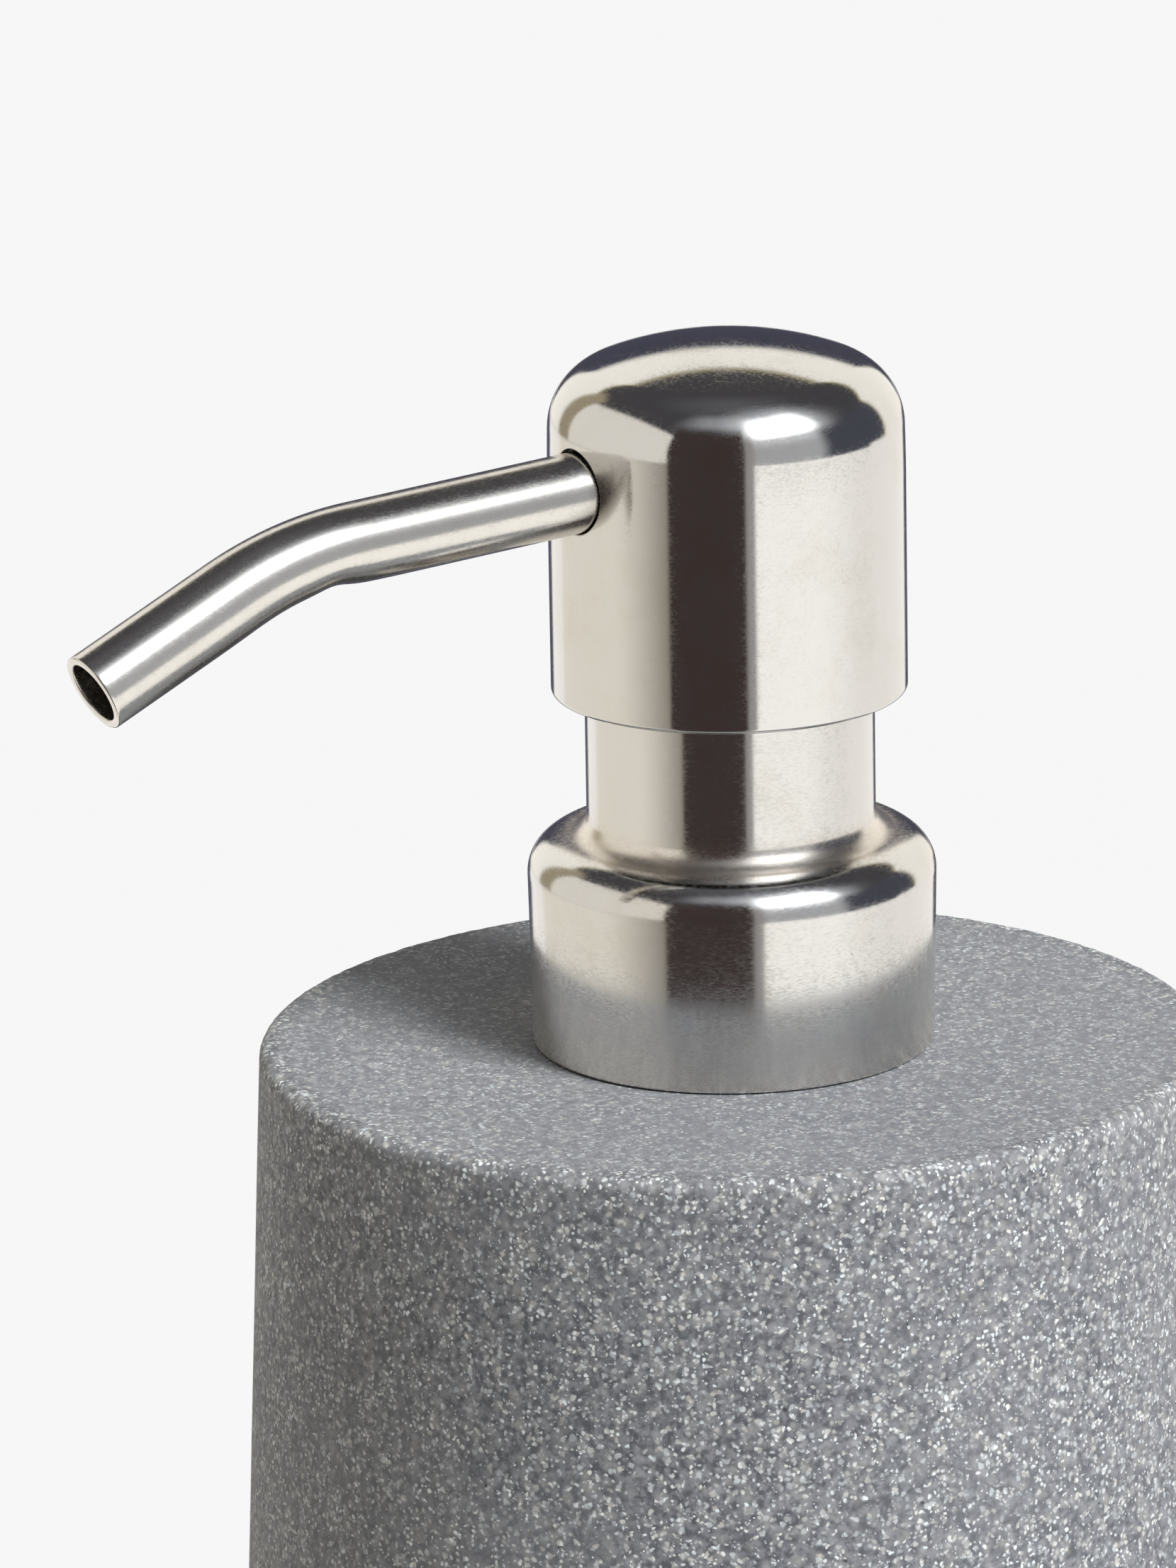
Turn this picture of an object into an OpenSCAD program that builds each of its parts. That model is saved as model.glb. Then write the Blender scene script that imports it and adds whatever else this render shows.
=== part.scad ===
// Soap pump dispenser: a cast stone bottle with a screw-on, steel-clad lotion pump.
// Millimetres, +Z up. The origin is the centre of the underside that the bottle stands on,
// and the spout points along -X.

/* [Bottle] */
// Height of the bottle's top face above the surface it stands on
bottle_h = 120; // [112:1:150]
// Outside diameter of the bottle at its foot
bottle_base_d = 85.2; // [83:0.2:92]
// Outside diameter of the bottle at its top face
bottle_top_d = 74.6; // [72:0.2:80]
// Thickness of the bottle's side wall
bottle_wall = 5.0; // [4:0.2:6]
// Thickness of the bottle's top
bottle_roof = 7.5; // [6.5:0.5:9]
// Rounding of the bottle's top edge
bottle_edge_r = 1.1; // [0.5:0.1:2]
// Thickness of the soft pad under the bottle
pad_t = 1.6; // [1:0.1:2.5]
// Height of the bottle's foot edge above the surface
foot_gap = 1.0; // [0.4:0.1:1.4]

/* [Neck finish] */
// Height of the neck's rim above the bottle's top face
neck_rim_h = 10.5; // [10.5:0.1:10.9]
// Diameter over the neck's thread crests
thread_d = 27.3; // [27:0.1:27.4]
// Depth of the neck's thread
thread_depth = 1.1; // [0.9:0.05:1.2]
// Rise of the thread in one turn
thread_pitch = 4.2; // [4:0.1:4.4]
// Number of turns of thread
thread_turns = 1.25; // [1:0.05:1.3]
// Bore of the neck
neck_bore_d = 20.8; // [19:0.1:21]

/* [Collar] */
// Outside diameter of the steel collar
collar_d = 32.1; // [32:0.1:34]
// Height of the collar's flat ring above the bottle's top face
collar_h = 16.8; // [16.6:0.1:18]
// Radius of the collar's shoulder
shoulder_r = 3.5; // [2.5:0.1:4]
// Outside diameter of the neck sleeve that rises from the collar
sleeve_d = 22.6; // [22:0.1:23]
// Height of the neck sleeve's hidden upper edge above the bottle's top face
sleeve_h = 31; // [29:0.5:31]
// Thickness of the drawn steel
steel_t = 0.5; // [0.4:0.05:0.6]

/* [Head] */
// Outside diameter of the domed head
head_d = 27.8; // [27:0.1:29]
// Height of the head's lower rim above the bottle's top face
head_rim_h = 28.3; // [28:0.1:29]
// Height at which the head's wall starts to curve in
knuckle_h = 49.5; // [49.5:0.1:52]
// Radius of the curve between wall and crown
knuckle_r = 5.4; // [4:0.1:6]
// Radius of the crown
crown_r = 28.9; // [24:0.1:36]
// Travel of the head when it is pressed
stroke = 10; // [8:0.5:10]

/* [Spout] */
// Outside diameter of the spout tube
spout_d = 6.3; // [5.6:0.1:6.4]
// Bore of the spout tube
spout_bore_d = 4.9; // [4:0.1:5]
// Height of the spout's centreline above the bottle's top face, on the pump's axis
spout_h = 46.7; // [46.4:0.1:47]
// Angle that the whole spout dips where it leaves the head
spout_dip = 3.1; // [0:0.1:4]
// Distance from the pump's axis to the middle of the spout's mouth, along the dipped root
spout_reach = 56.5; // [52:0.5:70]
// Distance from the pump's axis to the corner that the bend rounds off, along the dipped root
spout_corner = 39; // [30:0.5:40]
// Angle that the spout bends down, past its dip
spout_bend = 22; // [10:1:26]
// Radius of the bend's centreline
bend_r = 29; // [28:1:45]

/* [Pump] */
// Bore of the pump cylinder
barrel_bore_d = 14; // [13.6:0.1:14]
// Wall of the pump cylinder
barrel_wall = 1.0; // [0.8:0.1:1]
// Outside diameter of the hollow stem
stem_d = 7.2; // [7:0.1:7.4]
// Outside diameter of the dip tube
dip_d = 7.0; // [6.6:0.1:7.2]
// Bore of the dip tube
dip_bore_d = 5.0; // [4:0.1:5.2]
// Diameter of the inlet check ball
ball_d = 4.8; // [4.6:0.1:4.8]
// Travel of the piston on the stem that opens and closes its ports
piston_float = 1.2; // [0.8:0.1:1.2]
// Diameter of the return spring's wire
wire_d = 1.0; // [0.8:0.1:1]
// Number of coils in the return spring, closed ends included
spring_coils = 9; // [7:1:10]

/* [Hidden] */
$fn = 96;

// Gaps: glued or pressed joints, faces that turn on each other, and a thread's own play
bond = 0.05;
run = 0.08;
play = 0.3;

// Bottle, in heights above the surface
bottle_r0 = bottle_base_d / 2;
bottle_r1 = bottle_top_d / 2;
cavity_r0 = bottle_r0 - bottle_wall - 0.5;
cavity_r1 = bottle_r1 - bottle_wall;
foot_chamfer = 0.8;
cavity_floor = 5.6;
cavity_corner = 4;
plate_r = cavity_r0 + 1.3;
plate_plug_r = cavity_r0 - 0.4;
plate_plug_h = 3;
pad_r = cavity_r0 - 0.5;
pad_chamfer = 0.3;
insert_r = 14;
insert_rib = 0.8;
insert_rib_t = 1.2;
insert_rib_h = [-3.4, -5.8];
insert_flange_r = 17.5;
insert_flange_t = 2;

// Everything below is in heights above the bottle's top face
root_r = thread_d / 2 - thread_depth;
crest_r = thread_d / 2;
neck_bore_r = neck_bore_d / 2;
rim_chamfer = 0.4;
thread_h = 3.7;
thread_base_half = 1.1;
thread_tip_half = 0.5;
gasket_h = neck_rim_h + bond;
gasket_t = 1.4;
flange_h = gasket_h + gasket_t + bond;
flange_t = 1.8;
flange_r = 12.8;
cap_ceiling_h = flange_h + flange_t + bond;
cap_wall_r = crest_r + play;
cap_hole_r = 8.6;
collar_foot = 0.1;
cap_foot = 0.4;

barrel_r = barrel_bore_d / 2;
barrel_out_r = barrel_r + barrel_wall;
barrel_floor = -38;
seat_r = 1.5;
seat_depth = 2;
well_r = 3.2;
tail_r = dip_d / 2 + 1.4;
tail_h = -50;
socket_top = -41.5;
ball_r = ball_d / 2;
ball_h = barrel_floor - seat_depth - seat_r + (ball_r + bond) * sqrt(2);
ball_lift = 1.5;
cage_ceiling = ball_h + ball_r + ball_lift + bond;
cage_foot_t = 1.4;
cage_wall = 0.9;
cage_slot = 1.8;
spring_seat = barrel_floor + cage_foot_t;
spring_gap = 1.2;

plug_foot = 8;
piston_h = -1.5;
piston_l = 7.9;
piston_sleeve_r = 4.4;
piston_mouth_r = 3.5;
lip_t = 0.8;
valve_t = 1.4;
valve_h = piston_h - 0.1 - valve_t;
pilot_r = barrel_r - spring_gap - wire_d - 0.4;
pilot_h = 3.2;
pilot_nose_h = 4.4;
stem_foot = piston_h + piston_l + piston_float + bond;
shank_r = 2.6;
shank_top = 14;
stem_r = stem_d / 2;
stem_top = spout_h - 5.3;
guide_top = 19.2;

hub_foot = guide_top + stroke + 1.3;
hub_r = 6.2;
core_r = head_d / 2 - steel_t - 0.1;
core_foot = sleeve_h + stroke + 2.6;
core_top = knuckle_h - 0.4;
nozzle_r = spout_d / 2 + 1.5;
hub_top = max(core_top + 0.5, spout_h + nozzle_r - 0.5);
hub_inset = 0.7;
channel_r = 2.4;
socket_x = 7.5;
hole_r = spout_d / 2 + 0.3;
hole_lift = 0.15;
hem_r = 0.45;
bend_swell = 0.02;

dip_end = 12 - bottle_h;

// Places a pump part, drawn in heights above the bottle's top face
module on_top() {
    translate([0, 0, bottle_h]) children();
}

// Places something that follows the spout's root, which runs along -X and dips
module along_spout() {
    translate([0, 0, spout_h]) rotate([0, -spout_dip, 0]) children();
}

// A ring of rectangular section, for profiles that are spun round Z
module band(r0, r1, z0, z1) {
    translate([r0, z0]) square([r1 - r0, z1 - z0]);
}

// A thread of trapezoid section. Its crest sinks back to sunk_r at both ends, so it runs out.
// outward is true for a thread on the outside of a tube and false for one in a bore.
module thread(base_r, tip_r, sunk_r, base_half, tip_half, z0, outward) {
    n = ceil(thread_turns * 40);
    function fade(i) = min(1, i / 5, (n - i) / 5);
    function tip(i) = sunk_r + (tip_r - sunk_r) * fade(i);
    function section(i) = outward
        ? [[base_r, -base_half], [tip(i), -tip_half], [tip(i), tip_half], [base_r, base_half]]
        : [[tip(i), -tip_half], [base_r, -base_half], [base_r, base_half], [tip(i), tip_half]];
    sweep_round([for (i = [0:n]) [
        360 * thread_turns * i / n,
        z0 + thread_pitch * thread_turns * i / n,
        section(i)]]);
}

// Joins sections placed round Z. Each is [angle, height, [[radius, height], ...]].
module sweep_round(sections) {
    m = len(sections[0][2]);
    last = len(sections) - 1;
    points = [for (s = sections) for (p = s[2])
        [p[0] * cos(s[0]), p[0] * sin(s[0]), s[1] + p[1]]];
    sides = [for (i = [0:last - 1]) for (k = [0:m - 1]) let (
        a = i * m + k,
        b = i * m + (k + 1) % m)
        each [[a, b, b + m], [a, b + m, a + m]]];
    start = [[for (k = [m - 1:-1:0]) k]];
    end = [[for (k = [0:m - 1]) last * m + k]];
    polyhedron(points, concat(sides, start, end), convexity = 6);
}

// ---- Bottle ----

function side_r(z) = bottle_r0 + (bottle_r1 - bottle_r0) * z / bottle_h;

// The rounded top edge meets the leaning side and the flat top smoothly
module bottle_outline() {
    lean = atan((bottle_r0 - bottle_r1) / bottle_h);
    edge_h = bottle_h - bottle_edge_r;
    edge_x = side_r(edge_h) - bottle_edge_r / cos(lean);
    side_top = edge_h + bottle_edge_r * sin(lean);
    polygon([
        [0, foot_gap],
        [side_r(foot_gap) - foot_chamfer, foot_gap],
        [side_r(foot_gap + foot_chamfer), foot_gap + foot_chamfer],
        [side_r(side_top), side_top],
        [edge_x, edge_h],
        [edge_x, bottle_h],
        [0, bottle_h]]);
    translate([edge_x, edge_h]) circle(bottle_edge_r);
}

module cavity_outline() {
    roof = bottle_h - bottle_roof;
    corner_z = roof - cavity_corner;
    corner_r = cavity_r1 - cavity_corner;
    polygon([
        [0, cavity_floor - 1],
        [cavity_r0, cavity_floor - 1],
        [cavity_r0, cavity_floor],
        [cavity_r1, corner_z],
        [corner_r, corner_z],
        [corner_r, roof],
        [0, roof]]);
    translate([corner_r, corner_z]) circle(cavity_corner);
}

// The insert's stem and ribs inside the bottle's top, grown by the glue line
module insert_outline(grow) {
    band(0, insert_r + grow, -bottle_roof - 1, 1);
    for (z = insert_rib_h)
        band(0, insert_r + insert_rib + grow, z - grow, z + insert_rib_t + grow);
}

module bottle_body() {
    color([0.55, 0.54, 0.52])
        rotate_extrude() difference() {
            bottle_outline();
            cavity_outline();
            band(0, plate_r + bond, -1, cavity_floor);
            translate([0, bottle_h]) insert_outline(bond);
        }
}

module base_plate() {
    color([0.50, 0.49, 0.47])
        rotate_extrude() {
            band(0, plate_r, pad_t, cavity_floor);
            band(0, plate_plug_r, cavity_floor, cavity_floor + plate_plug_h);
        }
}

module foot_pad() {
    color([0.12, 0.12, 0.13])
        rotate_extrude() polygon([
            [0, 0],
            [pad_r - pad_chamfer, 0],
            [pad_r, pad_chamfer],
            [pad_r, pad_t],
            [0, pad_t]]);
}

module neck_insert() {
    color([0.93, 0.93, 0.91]) on_top() {
        rotate_extrude() difference() {
            union() {
                band(0, insert_flange_r, -bottle_roof - insert_flange_t, -bottle_roof);
                intersection() {
                    insert_outline(0);
                    band(0, insert_flange_r, -bottle_roof, 0);
                }
                polygon([
                    [0, -1],
                    [root_r, -1],
                    [root_r, neck_rim_h - rim_chamfer],
                    [root_r - rim_chamfer, neck_rim_h],
                    [0, neck_rim_h]]);
            }
            band(-1, neck_bore_r, -bottle_roof - insert_flange_t - 1, neck_rim_h + 1);
        }
        thread(root_r - 0.4, crest_r, root_r - 0.2, thread_base_half, thread_tip_half,
            thread_h, true);
    }
}

// ---- Collar ----

// The outside of the drawn collar and its sleeve, set in by a distance
module collar_outline(inset) {
    r = collar_d / 2 - inset;
    h = collar_h - inset;
    round_r = shoulder_r - inset;
    neck_r = sleeve_d / 2 - inset;
    foot_r = 1.5 + inset;
    band(0, r - round_r, 0, h);
    band(0, r, 0, h - round_r);
    translate([r - round_r, h - round_r]) circle(round_r);
    band(0, neck_r, 0, sleeve_h);
    difference() {
        translate([neck_r - 0.1, h - 0.1]) square(foot_r + 0.1);
        translate([neck_r + foot_r, h + foot_r]) circle(foot_r);
    }
}

module collar_shell() {
    color([0.80, 0.79, 0.77]) on_top()
        rotate_extrude() difference() {
            intersection() {
                collar_outline(0);
                band(0, collar_d, collar_foot, sleeve_h);
            }
            collar_outline(steel_t);
            band(-1, sleeve_d / 2 - steel_t, collar_foot - 1, sleeve_h + 1);
        }
}

module thread_cap() {
    top = collar_h - steel_t - bond;
    color([0.90, 0.90, 0.88]) on_top() {
        rotate_extrude() difference() {
            intersection() {
                collar_outline(steel_t + bond);
                band(0, collar_d, cap_foot, top);
            }
            band(-1, cap_wall_r, -1, cap_ceiling_h);
            band(-1, cap_hole_r, 0, top + 1);
        }
        thread(cap_wall_r + 0.4, root_r + play, cap_wall_r + 0.2, thread_base_half + bond,
            thread_tip_half + 0.1, thread_h - thread_pitch / 2, false);
    }
}

// ---- Pump ----

module neck_gasket() {
    color([0.86, 0.88, 0.90]) on_top()
        rotate_extrude() band(barrel_out_r + bond, flange_r - 0.3, gasket_h, gasket_h + gasket_t);
}

module pump_cylinder() {
    color([0.94, 0.94, 0.93]) on_top()
        rotate_extrude() difference() {
            union() {
                band(0, flange_r, flange_h, flange_h + flange_t);
                polygon([
                    [0, tail_h],
                    [tail_r, tail_h],
                    [tail_r, barrel_floor - 3],
                    [barrel_out_r, barrel_floor + 1],
                    [barrel_out_r, flange_h + 1],
                    [0, flange_h + 1]]);
            }
            polygon([
                [-1, tail_h - 1],
                [dip_d / 2 + bond, tail_h - 1],
                [dip_d / 2 + bond, socket_top],
                [seat_r, socket_top],
                [seat_r, barrel_floor - seat_depth],
                [well_r, barrel_floor - seat_depth + well_r - seat_r],
                [well_r, barrel_floor],
                [barrel_r, barrel_floor],
                [barrel_r, flange_h + flange_t + 1],
                [-1, flange_h + flange_t + 1]]);
        }
}

module cylinder_cap() {
    guide_r = stem_r + run;
    lip_h = collar_h - steel_t + bond;
    deck_h = flange_h + flange_t;
    color([0.92, 0.92, 0.90]) on_top()
        rotate_extrude() difference() {
            union() {
                band(0, barrel_r - bond, plug_foot, deck_h);
                band(0, cap_hole_r - 0.2, deck_h, lip_h);
                band(0, sleeve_d / 2 - steel_t - 0.6, lip_h, lip_h + 1.1);
                band(0, stem_r + 2.8, lip_h, guide_top);
            }
            band(-1, guide_r, plug_foot - 1, guide_top + 1);
            band(-1, barrel_r - 1.8, plug_foot - 1, deck_h + 1);
        }
}

module dip_tube() {
    color([0.95, 0.95, 0.94, 0.8]) on_top()
        difference() {
            translate([0, 0, dip_end]) cylinder(h = socket_top - bond - dip_end, d = dip_d);
            translate([0, 0, dip_end - 1]) cylinder(h = socket_top - dip_end + 2, d = dip_bore_d);
            translate([0, 0, dip_end]) rotate([0, 35, 0])
                translate([-dip_d, -dip_d, -2 * dip_d]) cube(2 * dip_d);
        }
}

module inlet_ball() {
    color([0.75, 0.75, 0.76]) on_top()
        translate([0, 0, ball_h]) sphere(ball_r);
}

module ball_cage() {
    tube_r = ball_r + 0.5;
    top = cage_ceiling + cage_wall;
    color([0.91, 0.92, 0.93]) on_top() difference() {
        rotate_extrude() difference() {
            union() {
                band(0, barrel_r - bond, barrel_floor, spring_seat);
                band(0, tube_r + cage_wall, barrel_floor, top);
            }
            band(-1, tube_r, barrel_floor - 1, cage_ceiling);
        }
        for (a = [0, 120, 240]) rotate(a)
            translate([0, -cage_slot / 2, spring_seat])
                cube([tube_r + 2 * cage_wall, cage_slot, cage_ceiling - spring_seat]);
    }
}

module return_spring() {
    mean_r = barrel_r - wire_d / 2 - spring_gap;
    foot = spring_seat + 0.02;
    top = valve_h - 0.02;
    closed = wire_d * 1.15;
    travel = top - foot - wire_d;
    open_rise = (travel - 2 * closed) / (spring_coils - 2);
    steps = 24;
    function coil_z(t) = t < 1 ? t * closed
        : t > spring_coils - 1 ? travel - (spring_coils - t) * closed
        : closed + (t - 1) * open_rise;
    wire = [for (k = [0:7]) [mean_r + wire_d / 2 * cos(45 * k), wire_d / 2 * sin(45 * k)]];
    color([0.70, 0.70, 0.72]) on_top()
        sweep_round([for (i = [0:spring_coils * steps]) [
            360 * i / steps,
            foot + wire_d / 2 + coil_z(i / steps),
            wire]]);
}

module piston() {
    foot = piston_h;
    top = piston_h + piston_l;
    lip_r = barrel_r - bond;
    wall_r = barrel_r - 0.5;
    skirt_r = wall_r - lip_t;
    web = [foot + 3.2, foot + 4.6];
    bore_r = shank_r + run;
    color([0.96, 0.96, 0.95]) on_top()
        rotate_extrude() polygon([
            [piston_mouth_r, foot],
            [piston_sleeve_r, foot],
            [piston_sleeve_r, web[0]],
            [skirt_r, web[0]],
            [skirt_r, foot + 1.2],
            [lip_r - 0.1, foot + 1.2],
            [lip_r, foot + 1.5],
            [wall_r, foot + 2.4],
            [wall_r, top - 1.6],
            [lip_r, top - 0.7],
            [lip_r - 0.1, top - 0.4],
            [skirt_r, top - 0.4],
            [skirt_r, web[1]],
            [piston_sleeve_r, web[1]],
            [piston_sleeve_r, top],
            [bore_r, top],
            [bore_r, foot + 2.2],
            [piston_mouth_r, foot + 2.2]]);
}

module piston_stem() {
    port_r = 0.8;
    color([0.90, 0.91, 0.92]) on_top() difference() {
        rotate_extrude() difference() {
            union() {
                band(0, shank_r, valve_h, shank_top);
                band(0, barrel_r - 1.1, valve_h, valve_h + valve_t);
                polygon([
                    [0, valve_h - pilot_nose_h],
                    [pilot_r - 1.6, valve_h - pilot_nose_h],
                    [pilot_r, valve_h - pilot_h],
                    [pilot_r, valve_h + 0.2],
                    [0, valve_h + 0.2]]);
            }
            band(-1, 1.3, valve_h + valve_t, shank_top + 1);
        }
        for (a = [0, 90]) rotate([0, 90, a])
            translate([-(valve_h + valve_t + port_r + 0.2), 0, -4]) cylinder(h = 8, r = port_r, $fn = 32);
    }
}

module stem() {
    color([0.93, 0.93, 0.92]) on_top()
        rotate_extrude() difference() {
            band(0, stem_r, stem_foot, stem_top);
            band(-1, 2, stem_foot - 1, stem_top + 1);
            band(-1, shank_r + 0.03, stem_foot - 1, shank_top + bond);
        }
}

// ---- Head ----

// The outside of the domed head, set in by a distance: wall, knuckle and crown meet smoothly
module dome_outline(inset, foot) {
    r = head_d / 2 - inset;
    knuckle = knuckle_r - inset;
    crown = crown_r - inset;
    knuckle_x = r - knuckle;
    crown_z = knuckle_h - sqrt(pow(crown - knuckle, 2) - pow(knuckle_x, 2));
    far = crown / (crown - knuckle) * 1.2;
    band(0, r, foot, knuckle_h);
    intersection() {
        translate([knuckle_x, knuckle_h]) circle(knuckle);
        band(0, r + 1, knuckle_h - 1, knuckle_h + knuckle + 1);
    }
    intersection() {
        translate([0, crown_z]) circle(crown);
        polygon([
            [0, knuckle_h - 0.2],
            [knuckle_x, knuckle_h - 0.2],
            [knuckle_x, knuckle_h],
            [knuckle_x * far, crown_z + (knuckle_h - crown_z) * far],
            [0, crown_z + (knuckle_h - crown_z) * far + crown]]);
    }
}

module dome_shell() {
    inner_r = head_d / 2 - steel_t;
    color([0.80, 0.79, 0.77]) on_top() difference() {
        rotate_extrude() {
            difference() {
                dome_outline(0, head_rim_h + hem_r);
                dome_outline(steel_t, head_rim_h - 1);
                band(-1, 0, 0, 2 * head_rim_h);
            }
            translate([inner_r + steel_t - hem_r, head_rim_h + hem_r]) circle(hem_r, $fn = 32);
        }
        along_spout() translate([0, 0, hole_lift]) rotate([0, -90, 0])
            cylinder(h = head_d, r = hole_r);
    }
}

module head_core() {
    color([0.20, 0.20, 0.21]) on_top() difference() {
        intersection() {
            union() {
                translate([0, 0, hub_foot]) cylinder(h = hub_top - hub_foot, r = hub_r);
                along_spout() rotate([0, -90, 0]) cylinder(h = head_d / 2, r = nozzle_r);
                translate([0, 0, core_foot]) difference() {
                    cylinder(h = core_top - core_foot, r = core_r);
                    translate([0, 0, -1]) cylinder(h = core_top, r = core_r - 1.5);
                }
                for (a = [45, 135]) rotate(a)
                    translate([-core_r + 0.5, -0.6, core_foot])
                        cube([2 * core_r - 1, 1.2, core_top - core_foot]);
            }
            union() {
                translate([0, 0, hub_foot]) cylinder(h = core_top - hub_foot, r = core_r);
                translate([0, 0, core_foot]) cylinder(h = hub_top - core_foot, r = core_r - hub_inset);
            }
        }
        translate([0, 0, hub_foot - 1]) cylinder(h = stem_top - hub_foot + 1 + bond, r = stem_r + 0.06);
        translate([0, 0, stem_top - 1]) cylinder(h = spout_h - stem_top + 1, r = channel_r);
        translate([0, 0, spout_h]) sphere(channel_r);
        along_spout() rotate([0, -90, 0]) cylinder(h = head_d, r = channel_r);
        along_spout() translate([-socket_x, 0, 0]) rotate([0, -90, 0])
            cylinder(h = head_d, r = spout_d / 2 + bond);
    }
}

// A solid rod along the spout's path, longer than the spout by extra at both ends.
// Bending thickens the middle stretch by bend_swell, and the straights run a little into it.
module spout_rod(d, extra) {
    tangent = bend_r * tan(spout_bend / 2);
    arc_x = spout_corner - tangent;
    end_x = spout_corner + tangent * cos(spout_bend);
    end_z = -tangent * sin(spout_bend);
    root_x = socket_x + bond - extra;
    tip_l = (spout_reach - end_x) / cos(spout_bend) + extra;
    translate([-root_x, 0, 0]) rotate([0, -90, 0])
        cylinder(h = arc_x - root_x + bond, d = d);
    translate([-arc_x, 0, -bend_r]) rotate([90, 0, 0]) rotate(90)
        rotate_extrude(angle = spout_bend) translate([bend_r, 0]) circle(d = d + bend_swell);
    translate([-end_x, 0, end_z]) rotate([0, -90 - spout_bend, 0]) translate([0, 0, -bond])
        cylinder(h = tip_l + bond, d = d);
}

module spout() {
    color([0.82, 0.81, 0.79]) on_top() along_spout() difference() {
        spout_rod(spout_d, 0);
        spout_rod(spout_bore_d, 0.5);
    }
}

bottle_body();
base_plate();
foot_pad();
neck_insert();
neck_gasket();
pump_cylinder();
cylinder_cap();
dip_tube();
inlet_ball();
ball_cage();
return_spring();
piston();
piston_stem();
stem();
head_core();
dome_shell();
spout();
thread_cap();
collar_shell();
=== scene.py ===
# Soap pump dispenser: a cast stone bottle with a polished steel lotion pump.
# Metres, +Z up, the spout along -X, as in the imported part. The CAD nodes give the sizes;
# this script rebuilds the surfaces that show and gives every piece its material.

import math

import bpy
from mathutils import Matrix, Vector, noise


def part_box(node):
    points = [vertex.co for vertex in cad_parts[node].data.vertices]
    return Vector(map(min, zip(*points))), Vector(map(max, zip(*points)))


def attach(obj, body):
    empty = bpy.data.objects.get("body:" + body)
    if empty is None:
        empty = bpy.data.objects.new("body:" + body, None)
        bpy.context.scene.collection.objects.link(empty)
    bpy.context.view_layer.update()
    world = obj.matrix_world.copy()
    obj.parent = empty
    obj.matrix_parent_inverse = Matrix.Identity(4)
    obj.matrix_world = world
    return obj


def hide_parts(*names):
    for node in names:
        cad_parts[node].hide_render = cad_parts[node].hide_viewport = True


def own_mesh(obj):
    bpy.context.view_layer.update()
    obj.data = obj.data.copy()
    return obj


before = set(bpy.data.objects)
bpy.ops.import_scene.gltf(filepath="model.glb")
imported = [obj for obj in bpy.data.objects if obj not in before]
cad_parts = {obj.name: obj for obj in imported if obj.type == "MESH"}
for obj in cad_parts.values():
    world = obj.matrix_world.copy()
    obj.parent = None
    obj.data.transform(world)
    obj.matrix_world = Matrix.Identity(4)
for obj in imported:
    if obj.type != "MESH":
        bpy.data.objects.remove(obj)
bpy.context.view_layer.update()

MM = 0.001


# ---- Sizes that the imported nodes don't show in their boxes, as in part.scad, in millimetres ----

BOTTLE_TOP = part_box("bottle_body")[1].z / MM
BOTTLE_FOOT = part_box("bottle_body")[0].z / MM
BOTTLE_R0 = 42.6
BOTTLE_R1 = 37.3
BOTTLE_EDGE_R = 1.1
FOOT_CHAMFER = 0.8
CAVITY_R0 = 37.1
CAVITY_R1 = 32.3
CAVITY_FLOOR = 5.6
CAVITY_ROOF = BOTTLE_TOP - 7.5
CAVITY_CORNER = 4.0
PLATE_HOLE_R = 38.45
INSERT_HOLE_R = 14.05
GLUE_GROOVE_R = 14.85
GLUE_GROOVE_H = 1.3
GLUE_GROOVES = (BOTTLE_TOP - 5.85, BOTTLE_TOP - 3.45)

STEEL_T = 0.5
HEAD_R = 13.9
HEAD_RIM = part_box("dome_shell")[0].z / MM
KNUCKLE_R = 5.4
KNUCKLE_Z = BOTTLE_TOP + 49.5
CROWN_R = 28.9
HEM_R = 0.45
HOLE_R = 3.32

COLLAR_R = 16.05
COLLAR_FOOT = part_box("collar_shell")[0].z / MM
COLLAR_TOP = BOTTLE_TOP + 16.8
SHOULDER_R = 3.1
COLLAR_LEAN = 0.3
SLEEVE_R = 11.3
SLEEVE_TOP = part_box("collar_shell")[1].z / MM
FILLET_R = 1.6

SPOUT_R = 3.15
SPOUT_BORE_R = 2.45
SPOUT_Z = BOTTLE_TOP + 46.7
SPOUT_DIP = math.radians(3.1)
SPOUT_ROOT_X = 7.55
SPOUT_REACH = 56.5
SPOUT_CORNER = 39.0
SPOUT_BEND = math.radians(22)
BEND_R = 29.0
HOLE_LIFT = 0.10
HOLE_Z = SPOUT_Z + HOLE_LIFT - HEAD_R * math.tan(SPOUT_DIP)

# The hole's rounded lip, and the way the head's wall leans in under the knuckle.
LIP_R = 0.16
DRAW_DEPTH = 0.12
DRAW_FOOT = KNUCKLE_Z - 4.0
DRAW_LENGTH = 8.0

# The bending tool's marks on the tube: depth, place along the tube and half width.
BEND_MARKS = ((0.30, 28.6, 1.7), (0.22, 31.5, 4.5))
SPOUT_EDGE_R = 0.14

SPRING_R = 5.3
SPRING_WIRE_R = 0.5
SPRING_COILS = 9
SPRING_CLOSED_PITCH = 1.15

PAD_DIMPLE_R = 0.5
WASHER_BORE_R = 8.05

# Where the finish changes: the worn edge of the bottle and its sanded top, the satin corner
# over the collar's shoulder and the satin lower part of its skirt.
EDGE_WEAR_REACH = 2.6
SANDED_MARGIN = 2.0
SANDED_DEPTH = 0.2
CORNER_SATIN_FROM = 0.7
CORNER_SATIN_FADE = 1.4
SHOULDER_SATIN_FADE = 1.6
SKIRT_SATIN = 0.6
SKIRT_SATIN_H = 6.0

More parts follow.
